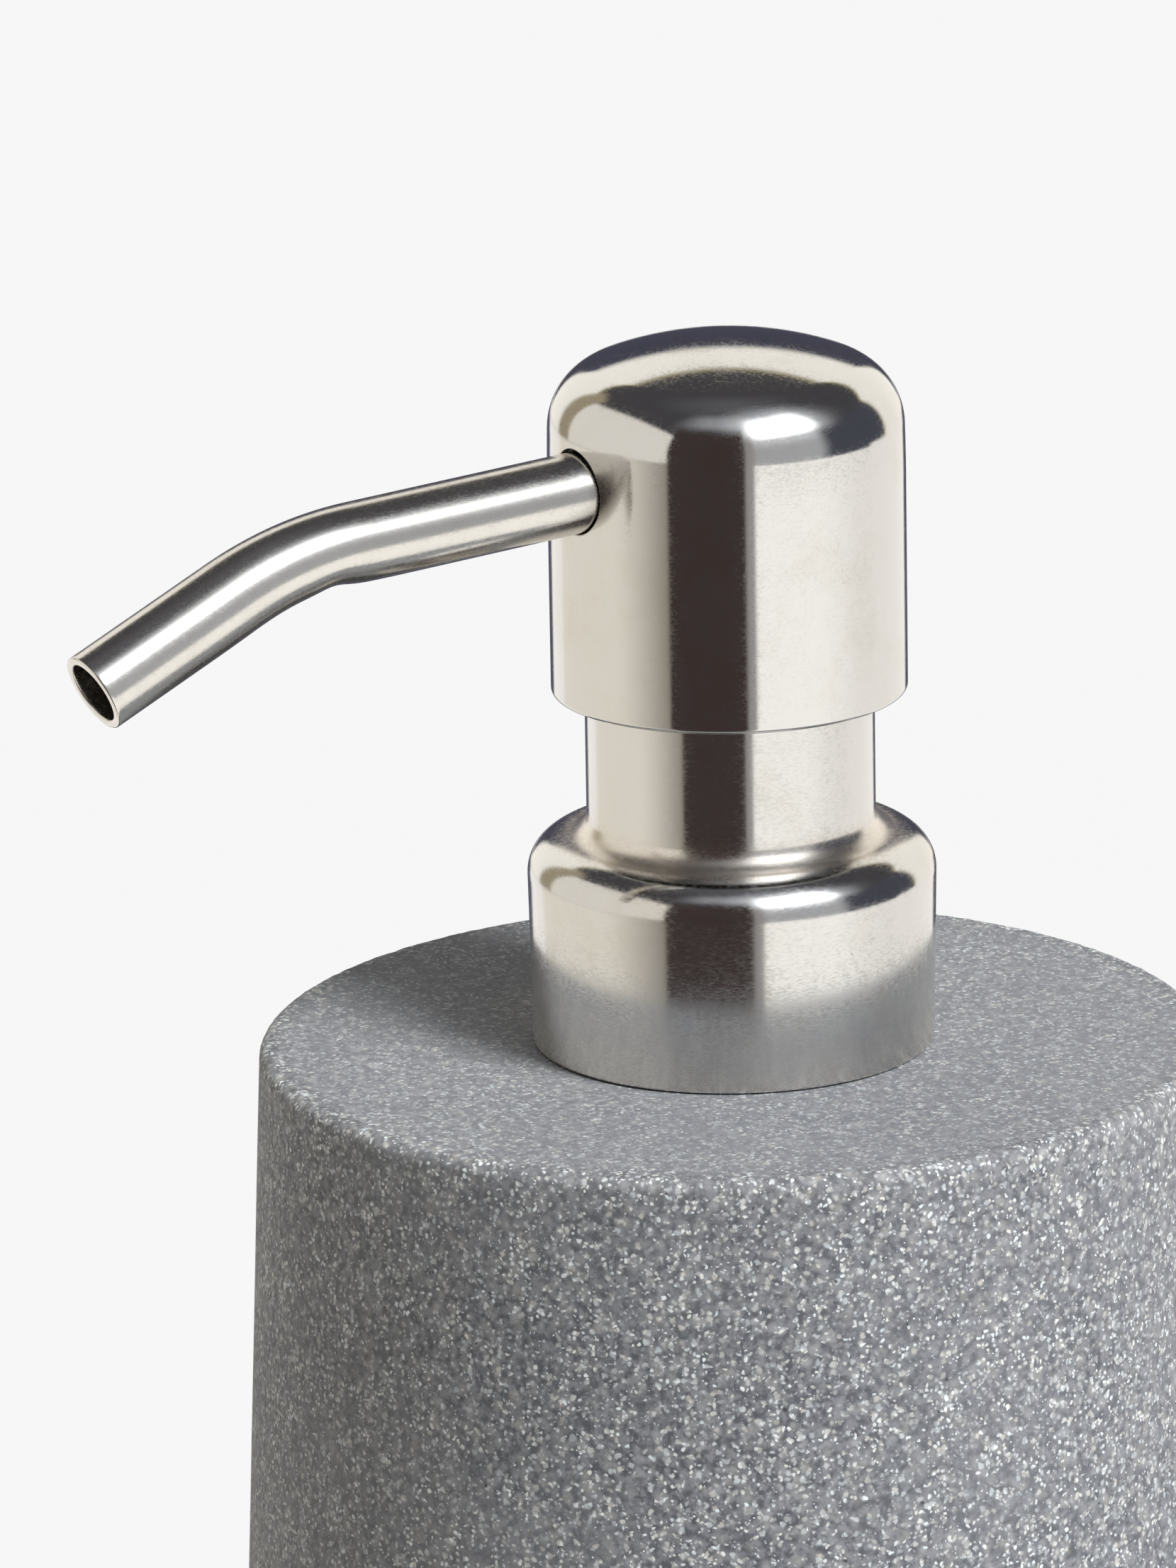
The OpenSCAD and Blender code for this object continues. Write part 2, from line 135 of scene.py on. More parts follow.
# How finely each piece is divided: segments round it and, where named, steps along it.
BOTTLE_SEGMENTS = 480
COLLAR_SEGMENTS = 240
HEAD_SEGMENTS = 240
PAD_SEGMENTS = 240
WASHER_SEGMENTS = 160
SPOUT_SEGMENTS = 96
SPOUT_ROWS = 140
WIRE_SEGMENTS = 14
WIRE_STEPS = 36
PATCH_HALF = 14
PATCH_STEP = 0.375
PATCH_SHARES = (0.86, 0.72, 0.58, 0.45, 0.34, 0.24, 0.15, 0.07)
LIP_TURNS = (0, 22, 45, 68, 90)


# ---- Outlines: closed loops of (r, z) corners with a rounding each, spun round Z ----

def arc_points(centre, radius, start, end, steps):
    """Points with their outward normals along an arc, angles in degrees from the r axis."""
    points = []
    for i in range(steps + 1):
        a = math.radians(start + (end - start) * i / steps)
        normal = (math.cos(a), math.sin(a))
        points.append((centre[0] + radius * normal[0], centre[1] + radius * normal[1], *normal))
    return points


def straight_points(start, end, step):
    """Points with their normals along a line, its own ends left out. The outside is on the right."""
    dr, dz = end[0] - start[0], end[1] - start[1]
    length = math.hypot(dr, dz)
    if length < 1e-6:
        return []
    count = max(2, math.ceil(length / step))
    normal = (dz / length, -dr / length)
    return [
        (start[0] + dr * i / count, start[1] + dz * i / count, *normal)
        for i in range(1, count)
    ]


def round_corner(before, corner, after, radius, steps):
    """The arc that rounds one corner, as points with normals that point out of the loop."""
    c = Vector(corner)
    to_before = (Vector(before) - c).normalized()
    to_after = (Vector(after) - c).normalized()
    half = to_before.angle(to_after) / 2
    middle = (to_before + to_after).normalized()
    centre = c + middle * radius / math.sin(half)
    inside = to_before.x * to_after.y - to_before.y * to_after.x
    hollow = inside > 0
    first = c + to_before * radius / math.tan(half)
    last = c + to_after * radius / math.tan(half)
    start = math.atan2(first.y - centre.y, first.x - centre.x)
    turn = math.atan2(last.y - centre.y, last.x - centre.x) - start
    turn = (turn + math.pi) % (2 * math.pi) - math.pi
    sign = -1 if hollow else 1
    points = []
    for i in range(steps + 1):
        a = start + turn * i / steps
        x, y = math.cos(a), math.sin(a)
        points.append((centre.x + radius * x, centre.y + radius * y, sign * x, sign * y))
    return points


def rounded_loop(corners, step=3.0, corner_steps=6):
    """A closed loop, anticlockwise in (r, z), of corners (r, z, rounding)."""
    loop = []
    n = len(corners)
    for i, (r, z, rounding) in enumerate(corners):
        before, after = corners[i - 1][:2], corners[(i + 1) % n][:2]
        arc = round_corner(before, (r, z), after, rounding, corner_steps)
        if loop:
            loop += straight_points(loop[-1][:2], arc[0][:2], step)
        loop += arc
    loop += straight_points(loop[-1][:2], loop[0][:2], step)
    return loop


# ---- Meshes ----

class MeshBuilder:
    """Collects vertices in millimetres, with their normals, and faces."""

    def __init__(self):
        self.points = []
        self.normals = []
        self.faces = []

    def add(self, point, normal):
        self.points.append(Vector(point) * MM)
        self.normals.append(Vector(normal).normalized())
        return len(self.points) - 1

    def strip(self, a, b, closed=True, flip=False):
        """Quads between two rows of vertices; a row of one vertex is a pole."""
        if flip:
            a, b = b, a
        n = max(len(a), len(b))
        for i in range(n if closed else n - 1):
            j = (i + 1) % n
            quad = [a[i % len(a)], a[j % len(a)], b[j % len(b)], b[i % len(b)]]
            face = [v for k, v in enumerate(quad) if v != quad[k - 1]]
            self.faces.append(face)

    def build(self, name, use_normals=True):
        used = sorted({v for face in self.faces for v in face})
        place = {v: i for i, v in enumerate(used)}
        faces = [[place[v] for v in face] for face in self.faces]
        mesh = bpy.data.meshes.new(name)
        mesh.from_pydata([self.points[v] for v in used], [], faces)
        mesh.validate()
        mesh.shade_smooth()
        if use_normals:
            mesh.normals_split_custom_set_from_vertices([self.normals[v] for v in used])
        mesh.update()
        piece = bpy.data.objects.new(name, mesh)
        bpy.context.scene.collection.objects.link(piece)
        return piece


def spun_row(builder, r, z, nr, nz, segments, wobble=None):
    """One ring of vertices. wobble(angle, r, z) gives a small offset along the normal."""
    if r < 1e-6:
        return [builder.add((0, 0, z), (0, 0, nz))]
    row = []
    for i in range(segments):
        a = 2 * math.pi * i / segments
        push = wobble(a, r, z) if wobble else 0.0
        radius, height = r + push * nr, z + push * nz
        point = (radius * math.cos(a), radius * math.sin(a), height)
        row.append(builder.add(point, (nr * math.cos(a), nr * math.sin(a), nz)))
    return row


def spin(name, loop, segments, wobble=None):
    """A ring-shaped piece from a closed outline."""
    builder = MeshBuilder()
    rows = [spun_row(builder, *point, segments, wobble) for point in loop]
    for a, b in zip(rows, rows[1:] + rows[:1]):
        builder.strip(a, b)
    return builder.build(name, use_normals=wobble is None)


def side_radius(z):
    """Radius of the bottle's tapered side at a height."""
    return BOTTLE_R0 + (BOTTLE_R1 - BOTTLE_R0) * z / BOTTLE_TOP


# ---- Bottle ----

def edge_wear(r, z):
    """1 on the bottle's rounded top edge, falling to 0 a little way down the side and in on the top."""
    from_edge = math.hypot(BOTTLE_R1 - r, BOTTLE_TOP - z)
    return max(0.0, 1.0 - from_edge / EDGE_WEAR_REACH)


def stone_wobble(angle, r, z):
    """The hand-finished unevenness of the cast: slow over the faces, fine along the edge."""
    x, y = r * math.cos(angle), r * math.sin(angle)
    if r < INSERT_HOLE_R + 1 or r < CAVITY_R1 + 1 and z < BOTTLE_TOP - 1:
        return 0.0
    point = Vector((x, y, z))
    slow = 0.03 * noise.noise(point * 0.06)
    fine = 0.07 * noise.noise(point * 0.9) + 0.05 * noise.noise(point * 2.1)
    return slow + fine * edge_wear(r, z)


def make_bottle():
    """The cast shell with its cavity, the open foot and the grooved hole for the neck insert."""
    g0, g1 = GLUE_GROOVES
    corners = [
        (PLATE_HOLE_R, BOTTLE_FOOT, 0.15),
        (side_radius(BOTTLE_FOOT) - FOOT_CHAMFER, BOTTLE_FOOT, 0.3),
        (side_radius(BOTTLE_FOOT + FOOT_CHAMFER), BOTTLE_FOOT + FOOT_CHAMFER, 0.3),
        (side_radius(BOTTLE_TOP), BOTTLE_TOP, BOTTLE_EDGE_R),
        (INSERT_HOLE_R, BOTTLE_TOP, 0.15),
        (INSERT_HOLE_R, g1 + GLUE_GROOVE_H, 0.1),
        (GLUE_GROOVE_R, g1 + GLUE_GROOVE_H, 0.1),
        (GLUE_GROOVE_R, g1, 0.1),
        (INSERT_HOLE_R, g1, 0.1),
        (INSERT_HOLE_R, g0 + GLUE_GROOVE_H, 0.1),
        (GLUE_GROOVE_R, g0 + GLUE_GROOVE_H, 0.1),
        (GLUE_GROOVE_R, g0, 0.1),
        (INSERT_HOLE_R, g0, 0.1),
        (INSERT_HOLE_R, CAVITY_ROOF, 0.15),
        (CAVITY_R1, CAVITY_ROOF, CAVITY_CORNER),
        (CAVITY_R0, CAVITY_FLOOR, 0.15),
        (PLATE_HOLE_R, CAVITY_FLOOR, 0.15),
    ]
    loop = rounded_loop(corners, step=1.6, corner_steps=8)
    bottle = spin("bottle_stone", loop, BOTTLE_SEGMENTS, stone_wobble)
    wear = bottle.data.attributes.new("wear", "FLOAT", "POINT")
    sanded = bottle.data.attributes.new("sanded", "FLOAT", "POINT")
    for i, v in enumerate(bottle.data.vertices):
        r, z = math.hypot(v.co.x, v.co.y) / MM, v.co.z / MM
        wear.data[i].value = edge_wear(r, z)
        on_top = z > BOTTLE_TOP - SANDED_DEPTH and r < BOTTLE_R1 - SANDED_MARGIN
        sanded.data[i].value = 1.0 if on_top else 0.0
    return bottle


# ---- Collar ----

def make_collar():
    """The drawn collar with its shoulder, the fillet and the sleeve, one sheet of steel thick.
    The skirt draws in a little towards its foot."""
    inner_top = COLLAR_TOP - STEEL_T
    wall = COLLAR_R - STEEL_T
    bore = SLEEVE_R - STEEL_T
    corners = [
        (wall - COLLAR_LEAN, COLLAR_FOOT, 0.12),
        (COLLAR_R - COLLAR_LEAN, COLLAR_FOOT, 0.22),
        (COLLAR_R, COLLAR_TOP, SHOULDER_R),
        (SLEEVE_R, COLLAR_TOP, FILLET_R),
        (SLEEVE_R, SLEEVE_TOP, 0.2),
        (bore, SLEEVE_TOP, 0.2),
        (bore, inner_top, FILLET_R * 0.9),
        (wall, inner_top, SHOULDER_R - STEEL_T),
    ]
    loop = rounded_loop(corners, step=0.8, corner_steps=20)
    collar = spin("collar_steel", loop, COLLAR_SEGMENTS)
    satin = collar.data.attributes.new("satin", "FLOAT", "POINT")
    for vertex, value in zip(collar.data.vertices, satin.data):
        r, z = math.hypot(vertex.co.x, vertex.co.y) / MM, vertex.co.z / MM
        value.value = satin_share(r, z)
    return collar


def satin_share(r, z):
    """How satin the collar is: 1 in the corner between the sleeve and the shoulder, where a
    polishing wheel can't reach, and more and more down the skirt's brushed lower part."""
    if r > SLEEVE_R + FILLET_R and z < COLLAR_TOP - SHOULDER_R:
        return SKIRT_SATIN * min(1, max(0, 1 - (z - COLLAR_FOOT) / SKIRT_SATIN_H))
    if r < SLEEVE_R - 0.1 or z < COLLAR_TOP - 0.3:
        return 0.0
    above = (z - COLLAR_TOP - CORNER_SATIN_FROM) / CORNER_SATIN_FADE
    beyond = (r - SLEEVE_R - FILLET_R) / SHOULDER_SATIN_FADE
    return (1 - min(1, max(0, above))) * (1 - min(1, max(0, beyond)))


# ---- Head ----

def head_radius(z, inset):
    """Radius of the head's wall at a height: straight up to the knuckle, then curving in."""
    if z <= KNUCKLE_Z:
        return HEAD_R - inset
    knuckle = KNUCKLE_R - inset
    return HEAD_R - KNUCKLE_R + math.sqrt(max(0.0, knuckle**2 - (z - KNUCKLE_Z) ** 2))


def head_normal(y, z, inset):
    """Outward normal of the wall on the spout's side, at (y, z)."""
    radius = head_radius(z, inset)
    out = 1.0
    up = 0.0
    if z > KNUCKLE_Z:
        up = (z - KNUCKLE_Z) / (KNUCKLE_R - inset)
        out = math.sqrt(1 - up * up)
    side = y / radius
    return Vector((-math.sqrt(1 - side * side) * out, side * out, up))


def head_surface(inset):
    """The (r, z, nr, nz) points of the crown, knuckle and wall, from the axis down."""
    knuckle = KNUCKLE_R - inset
    crown = CROWN_R - inset
    knuckle_x = HEAD_R - KNUCKLE_R
    crown_z = KNUCKLE_Z - math.sqrt((crown - knuckle) ** 2 - knuckle_x**2)
    join = math.degrees(math.atan2(KNUCKLE_Z - crown_z, knuckle_x))
    patch_top = HOLE_Z + PATCH_HALF * PATCH_STEP
    patch_angle = math.degrees(math.asin((patch_top - KNUCKLE_Z) / knuckle))
    points = arc_points((0, crown_z), crown, 90, join, 24)
    points[0] = (0.0, crown_z + crown, 0.0, 1.0)
    points += arc_points((knuckle_x, KNUCKLE_Z), knuckle, join, patch_angle, 18)[1:]
    start = len(points) - 1
    for i in range(1, 2 * PATCH_HALF + 1):
        z = patch_top - i * PATCH_STEP
        n = head_normal(0, z, inset)
        points.append((head_radius(z, inset), z, -n.x, n.z))
    end = len(points) - 1
    return points, start, end


def patch_edge(rows, start, end):
    """The vertices round the square left open for the spout's hole, anticlockwise from outside."""
    n = HEAD_SEGMENTS
    centre = n // 2
    top, bottom = rows[start], rows[end]
    columns = range(centre - PATCH_HALF, centre + PATCH_HALF)
    edge = [top[c] for c in columns]
    edge += [rows[r][centre + PATCH_HALF] for r in range(start, end)]
    edge += [bottom[c] for c in range(centre + PATCH_HALF, centre - PATCH_HALF, -1)]
    edge += [rows[r][centre - PATCH_HALF] for r in range(end, start, -1)]
    return edge


def hole_ring(builder, edge, share, inset):
    """A ring of the patch between the square edge (share 1) and the hole's lip (share 0)."""
    lip = HOLE_R + LIP_R
    ring = []
    for v in edge:
        y, z = builder.points[v].y / MM, builder.points[v].z / MM
        a = math.atan2(z - HOLE_Z, y)
        y = lip * math.cos(a) * (1 - share) + y * share
        z = (HOLE_Z + lip * math.sin(a)) * (1 - share) + z * share
        x = -math.sqrt(head_radius(z, inset) ** 2 - y * y)
        ring.append(builder.add((x, y, z), head_normal(y, z, inset)))
    return ring


def lip_ring(builder, edge, turn, inset, outward):
    """A ring of the hole's rounded lip: turn goes from 0 on the sheet's face to 90 in the hole."""
    a = math.radians(turn)
    radius = HOLE_R + LIP_R * (1 - math.sin(a))
    depth = LIP_R * (1 - math.cos(a)) * outward
    ring = []
    for v in edge:
        y, z = builder.points[v].y / MM, builder.points[v].z / MM
        t = math.atan2(z - HOLE_Z, y)
        y, z = radius * math.cos(t), HOLE_Z + radius * math.sin(t)
        face = head_normal(y, z, inset) * outward
        into_hole = Vector((0, -math.cos(t), -math.sin(t)))
        x = -math.sqrt(head_radius(z, inset) ** 2 - y * y) + depth
        ring.append(builder.add((x, y, z), face * math.cos(a) + into_hole * math.sin(a)))
    return ring


def head_side(builder, inset, outward):
    """One face of the head's sheet, with the patch round the hole. Returns its rim and hole rings."""
    points, start, end = head_surface(inset)
    rows = []
    for r, z, nr, nz in points:
        rows.append(spun_row(builder, r, z, nr * outward, nz * outward, HEAD_SEGMENTS))
    flip = outward > 0
    n = HEAD_SEGMENTS
    centre = n // 2
    for k, (a, b) in enumerate(zip(rows, rows[1:])):
        if len(a) == 1 or not start <= k < end:
            builder.strip(a, b, flip=flip)
            continue
        columns = [(centre + PATCH_HALF + c) % n for c in range(n - 2 * PATCH_HALF + 1)]
        builder.strip([a[c] for c in columns], [b[c] for c in columns], closed=False, flip=flip)
    edge = patch_edge(rows, start, end)
    rings = [edge]
    for share in PATCH_SHARES:
        rings.append(hole_ring(builder, edge, share, inset))
    for turn in LIP_TURNS:
        rings.append(lip_ring(builder, edge, turn, inset, outward))
    for a, b in zip(rings, rings[1:]):
        builder.strip(a, b, flip=flip)
    return rows[-1], rings[-1]


def make_dome():
    """The drawn steel dome: a hole for the spout with a rounded lip, and a rolled lower rim."""
    builder = MeshBuilder()
    wall_bottom = HOLE_Z - PATCH_HALF * PATCH_STEP
    outer_row, outer_hole = head_side(builder, 0.0, 1)
    inner_row, inner_hole = head_side(builder, STEEL_T, -1)
    hem_z = HEAD_RIM + HEM_R
    hem_x = HEAD_R - HEM_R
    meet = math.degrees(math.acos((HEAD_R - STEEL_T - hem_x) / HEM_R))
    down = straight_points((HEAD_R, wall_bottom), (HEAD_R, hem_z), 0.8)
    down = [(r, z, -nr, -nz) for r, z, nr, nz in down]
    hem = arc_points((hem_x, hem_z), HEM_R, 0, meet - 360, 26)
    top = hem[-1][1]
    up = straight_points((HEAD_R - STEEL_T, top), (HEAD_R - STEEL_T, wall_bottom), 0.8)
    up = [(r, z, -nr, -nz) for r, z, nr, nz in up]
    rows = [outer_row]
    rows += [spun_row(builder, *p, HEAD_SEGMENTS) for p in down + hem + up]
    rows.append(inner_row)
    for a, b in zip(rows, rows[1:]):
        builder.strip(a, b, flip=True)
    builder.strip(outer_hole, inner_hole, flip=True)
    draw_in(builder)
    return builder.build("dome_steel")


def draw_in(builder):
    """Lets the wall lean in very slightly below the knuckle, as a drawn cup's wall does."""
    for i, point in enumerate(builder.points):
        share = min(1, max(0, (point.z / MM - DRAW_FOOT) / DRAW_LENGTH))
        depth = DRAW_DEPTH * share * share * (3 - 2 * share)
        slope = DRAW_DEPTH * 6 * share * (1 - share) / DRAW_LENGTH
        r = math.hypot(point.x, point.y) / MM
        keep = 1 - depth / HEAD_R
        normal = builder.normals[i]
        outward = (normal.x * point.x + normal.y * point.y) / (r * MM) if r > 0.01 else 0.0
        lean = slope * r / HEAD_R / keep * outward
        builder.points[i] = Vector((point.x * keep, point.y * keep, point.z))
        builder.normals[i] = Vector((normal.x / keep, normal.y / keep, normal.z + lean)).normalized()


# ---- Spout ----

def spout_frame(s):
    """Centre and upward normal of the spout's line, s millimetres from its root."""
    tangent = BEND_R * math.tan(SPOUT_BEND / 2)
    arc_start = SPOUT_CORNER - tangent - SPOUT_ROOT_X
    arc_length = BEND_R * SPOUT_BEND
    turn = min(max(s - arc_start, 0.0), arc_length) / BEND_R
    x = SPOUT_ROOT_X + min(s, arc_start) + BEND_R * math.sin(turn)
    z = SPOUT_Z - BEND_R * (1 - math.cos(turn))
    beyond = max(0.0, s - arc_start - arc_length)
    x += beyond * math.cos(turn)
    z -= beyond * math.sin(turn)
    up = Vector((-math.sin(turn), 0, math.cos(turn)))
    dip = Matrix.Rotation(-SPOUT_DIP, 3, "Y")
    root = Vector((0, 0, SPOUT_Z))
    return root + dip @ (Vector((-x, 0, z)) - root), dip @ up


def spout_length():
    """Length of the spout's line from its root to its mouth, in millimetres."""
    tangent = BEND_R * math.tan(SPOUT_BEND / 2)
    end_x = SPOUT_CORNER + tangent * math.cos(SPOUT_BEND)
    tip = (SPOUT_REACH - end_x) / math.cos(SPOUT_BEND)
    return SPOUT_CORNER - tangent - SPOUT_ROOT_X + BEND_R * SPOUT_BEND + tip


def bell(value, centre, width):
    """A smooth bump of height 1 round a centre."""
    return math.exp(-(((value - centre) / width) ** 2))


def bend_mark(s, angle):
    """How far the bending tool pressed the tube in on the bend's inner side, in millimetres."""
    underside = max(0.0, -math.sin(angle)) ** 2
    return underside * sum(depth * bell(s, at, width) for depth, at, width in BEND_MARKS)


def spout_ring(builder, s, radius, pressed):
    """One ring of the tube; pressed rings carry the bending tool's marks."""
    centre, up = spout_frame(s)
    side = Vector((0, 1, 0))
    ring = []
    for i in range(SPOUT_SEGMENTS):
        a = 2 * math.pi * i / SPOUT_SEGMENTS
        outward = side * math.cos(a) + up * math.sin(a)
        reach = radius - (bend_mark(s, a) if pressed else 0.0)
        ring.append(builder.add(centre + outward * reach, outward))
    return ring


def make_spout():
    """The bent steel tube, with a squared-off mouth and the bending tool's mark."""
    builder = MeshBuilder()
    length = spout_length()
    edge = SPOUT_EDGE_R
    rows = [spout_ring(builder, 0.0, SPOUT_BORE_R + edge, False)]
    rows.append(spout_ring(builder, 0.0, SPOUT_R - edge, False))
    rows.append(spout_ring(builder, edge, SPOUT_R, False))
    for i in range(1, SPOUT_ROWS):
        rows.append(spout_ring(builder, length * i / SPOUT_ROWS, SPOUT_R, True))
    for turn in (0, 30, 60, 90):
        a = math.radians(turn)
        s = length - edge + edge * math.sin(a)
        rows.append(spout_ring(builder, s, SPOUT_R - edge + edge * math.cos(a), False))
    for turn in (90, 60, 30, 0):
        a = math.radians(turn)
        s = length - edge + edge * math.sin(a)
        rows.append(spout_ring(builder, s, SPOUT_BORE_R + edge - edge * math.cos(a), False))
    for i in range(SPOUT_ROWS - 1, 0, -1):
        rows.append(spout_ring(builder, length * i / SPOUT_ROWS, SPOUT_BORE_R, True))
    for a, b in zip(rows, rows[1:] + rows[:1]):
        builder.strip(a, b)
    return builder.build("spout_tube", use_normals=False)


# ---- Spring, pad and washer ----

def make_spring():
    """The coiled wire, with its end coils closed."""
    low, high = (corner.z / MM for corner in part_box("return_spring"))
    builder = MeshBuilder()
    travel = high - low - 2 * SPRING_WIRE_R
    open_pitch = (travel - 2 * SPRING_CLOSED_PITCH) / (SPRING_COILS - 2)
    rows = []
    for i in range(SPRING_COILS * WIRE_STEPS + 1):
        turn = i / WIRE_STEPS
        if turn < 1:
            rise = turn * SPRING_CLOSED_PITCH
        elif turn > SPRING_COILS - 1:
            rise = travel - (SPRING_COILS - turn) * SPRING_CLOSED_PITCH
        else:
            rise = SPRING_CLOSED_PITCH + (turn - 1) * open_pitch
        a = 2 * math.pi * turn
        row = []
        for k in range(WIRE_SEGMENTS):
            b = 2 * math.pi * k / WIRE_SEGMENTS
            r = SPRING_R + SPRING_WIRE_R * math.cos(b)
            z = low + SPRING_WIRE_R + rise + SPRING_WIRE_R * math.sin(b)
            normal = (math.cos(b) * math.cos(a), math.cos(b) * math.sin(a), math.sin(b))
            row.append(builder.add((r * math.cos(a), r * math.sin(a), z), normal))
        rows.append(row)
    for a, b in zip(rows, rows[1:]):
        builder.strip(b, a)
    builder.faces.append(rows[0])
    builder.faces.append(list(reversed(rows[-1])))
    return builder.build("return_spring_wire", use_normals=False)


def make_foot_pad():
    """The foam disc under the bottle, its edge a little squeezed."""
    low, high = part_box("foot_pad")
    r, z0, z1 = high.x / MM, low.z / MM, high.z / MM
    inner = PAD_DIMPLE_R
    corners = [
        (inner, z0, 0.2),
        (r, z0, 0.45),
        (r - 0.15, z1, 0.35),
        (inner, z1, 0.2),
    ]

    def squeeze(angle, r, z):
        p = Vector((r * math.cos(angle), r * math.sin(angle), z))
        return -0.02 + 0.02 * noise.noise(p * 0.15)

    builder = MeshBuilder()
    loop = rounded_loop(corners, step=1.2, corner_steps=6)
    loop = [p for p in loop if p[0] > 2 * inner]
    rows = [spun_row(builder, *point, PAD_SEGMENTS, squeeze) for point in loop]
    for a, b in zip(rows, rows[1:]):
        builder.strip(a, b)
    bottom = spun_row(builder, 0, z0 + 0.02, 0, -1, 1)
    top = spun_row(builder, 0, z1 - 0.02, 0, 1, 1)
    builder.strip(bottom, rows[0])
    builder.strip(rows[-1], top)
    return builder.build("foot_pad_foam", use_normals=False)


def make_gasket():
    """The foam sealing washer, its edges rounded."""
    low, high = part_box("neck_gasket")
    outer, z0, z1 = high.x / MM, low.z / MM, high.z / MM
    inner = WASHER_BORE_R
    corners = [
        (inner, z0, 0.25),
        (outer, z0, 0.45),
        (outer, z1, 0.45),
        (inner, z1, 0.25),
    ]
    loop = rounded_loop(corners, step=0.6, corner_steps=6)
    return spin("neck_gasket_foam", loop, WASHER_SEGMENTS)


# ---- Node graphs ----

class Graph:
    """Shorthand for building a node tree: every call adds a node and returns its output."""

    def __init__(self, tree):
        self.tree = tree
        tree.nodes.clear()

    def node(self, kind, **settings):
        node = self.tree.nodes.new(kind)
        for key, value in settings.items():
            setattr(node, key, value)
        return node

    def feed(self, socket, value):
        if isinstance(value, bpy.types.NodeSocket):
            self.tree.links.new(value, socket)
        elif isinstance(value, tuple) and len(value) == 3 and socket.type == "RGBA":
            socket.default_value = (*value, 1.0)
        else:
            socket.default_value = value

    def math(self, operation, a, b=0.0, c=0.0, clamp=False):
        node = self.node("ShaderNodeMath", operation=operation, use_clamp=clamp)
        for socket, value in zip(node.inputs, (a, b, c)):
            self.feed(socket, value)
        return node.outputs[0]

    def vector(self, operation, a, b):
        node = self.node("ShaderNodeVectorMath", operation=operation)
        self.feed(node.inputs[0], a)
        if operation == "SCALE":
            self.feed(node.inputs["Scale"], b)
        else:
            self.feed(node.inputs[1], b)
        return node.outputs[0]

    def ramp(self, value, low, high, to_low=0.0, to_high=1.0, smooth=True):
        """value mapped from low..high to to_low..to_high and held there outside it."""
        node = self.node("ShaderNodeMapRange")
        node.interpolation_type = "SMOOTHSTEP" if smooth else "LINEAR"
        for key, v in (("Value", value), ("From Min", low), ("From Max", high)):
            self.feed(node.inputs[key], v)
        self.feed(node.inputs["To Min"], to_low)
        self.feed(node.inputs["To Max"], to_high)
        return node.outputs[0]

    def mix(self, share, a, b, blend="MIX"):
        node = self.node("ShaderNodeMix", data_type="RGBA", blend_type=blend)
        self.feed(node.inputs[0], share)
        self.feed(node.inputs[6], a)
        self.feed(node.inputs[7], b)
        return node.outputs[2]

    def place(self, stretch=(1.0, 1.0, 1.0)):
        """The point on the piece, in metres, stretched along its axes."""
        coord = self.node("ShaderNodeTexCoord").outputs["Object"]
        if stretch == (1.0, 1.0, 1.0):
            return coord
        return self.vector("MULTIPLY", coord, stretch)

    def noise(self, point, per_mm, detail=2.0, rough=0.5):
        node = self.node("ShaderNodeTexNoise")
        self.feed(node.inputs["Vector"], point)
        node.inputs["Scale"].default_value = per_mm / MM
        node.inputs["Detail"].default_value = detail
        node.inputs["Roughness"].default_value = rough
        return node.outputs["Fac"]

    def cells(self, point, per_mm, jitter=1.0):
        """Distance to the nearest cell's centre, in cell widths, and that cell's random colour."""
        node = self.node("ShaderNodeTexVoronoi", feature="F1")
        self.feed(node.inputs["Vector"], point)
        node.inputs["Scale"].default_value = per_mm / MM
        node.inputs["Randomness"].default_value = jitter
        return node.outputs["Distance"], node.outputs["Color"]

    def parts(self, colour):
        node = self.node("ShaderNodeSeparateColor")
        self.feed(node.inputs[0], colour)
        return node.outputs[0], node.outputs[1], node.outputs[2]

    def attribute(self, name):
        node = self.node("ShaderNodeAttribute", attribute_name=name)
        return node.outputs["Fac"]

    def bump(self, height, depth_mm, strength=1.0):
        node = self.node("ShaderNodeBump")
        self.feed(node.inputs["Height"], height)
        node.inputs["Distance"].default_value = depth_mm * MM
        node.inputs["Strength"].default_value = strength
        return node.outputs[0]

    def surface(self, colour, roughness, normal=None, tangent=None, **uniform):
        """A Principled surface. uniform holds the inputs that are the same all over."""
        shader = self.node("ShaderNodeBsdfPrincipled")
        self.feed(shader.inputs["Base Color"], colour)
        self.feed(shader.inputs["Roughness"], roughness)
        if normal is not None:
            self.feed(shader.inputs["Normal"], normal)
        if tangent is not None:
            self.feed(shader.inputs["Tangent"], tangent)
        for key, value in uniform.items():
            shader.inputs[key.replace("_", " ")].default_value = value
        out = self.node("ShaderNodeOutputMaterial")
        self.tree.links.new(shader.outputs[0], out.inputs["Surface"])


def new_material(name):
    material = bpy.data.materials.new(name)
    material.use_nodes = True
    return material, Graph(material.node_tree)


# ---- Materials ----

STONE_DARK = (0.060, 0.064, 0.073)
STONE_MID = (0.154, 0.158, 0.168)
STONE_DEEP = (0.275, 0.285, 0.293)
STONE_DEEP_WARM = (0.300, 0.285, 0.255)
STONE_BEIGE = (0.420, 0.398, 0.350)
STONE_CYAN = (0.375, 0.412, 0.425)
STONE_CREAM = (0.520, 0.505, 0.460)
STONE_WHITE = (0.545, 0.600, 0.612)
STONE_SPARK = (0.700, 0.740, 0.745)
STONE_PORE = (0.035, 0.033, 0.034)
STONE_DUST = (0.200, 0.209, 0.221)

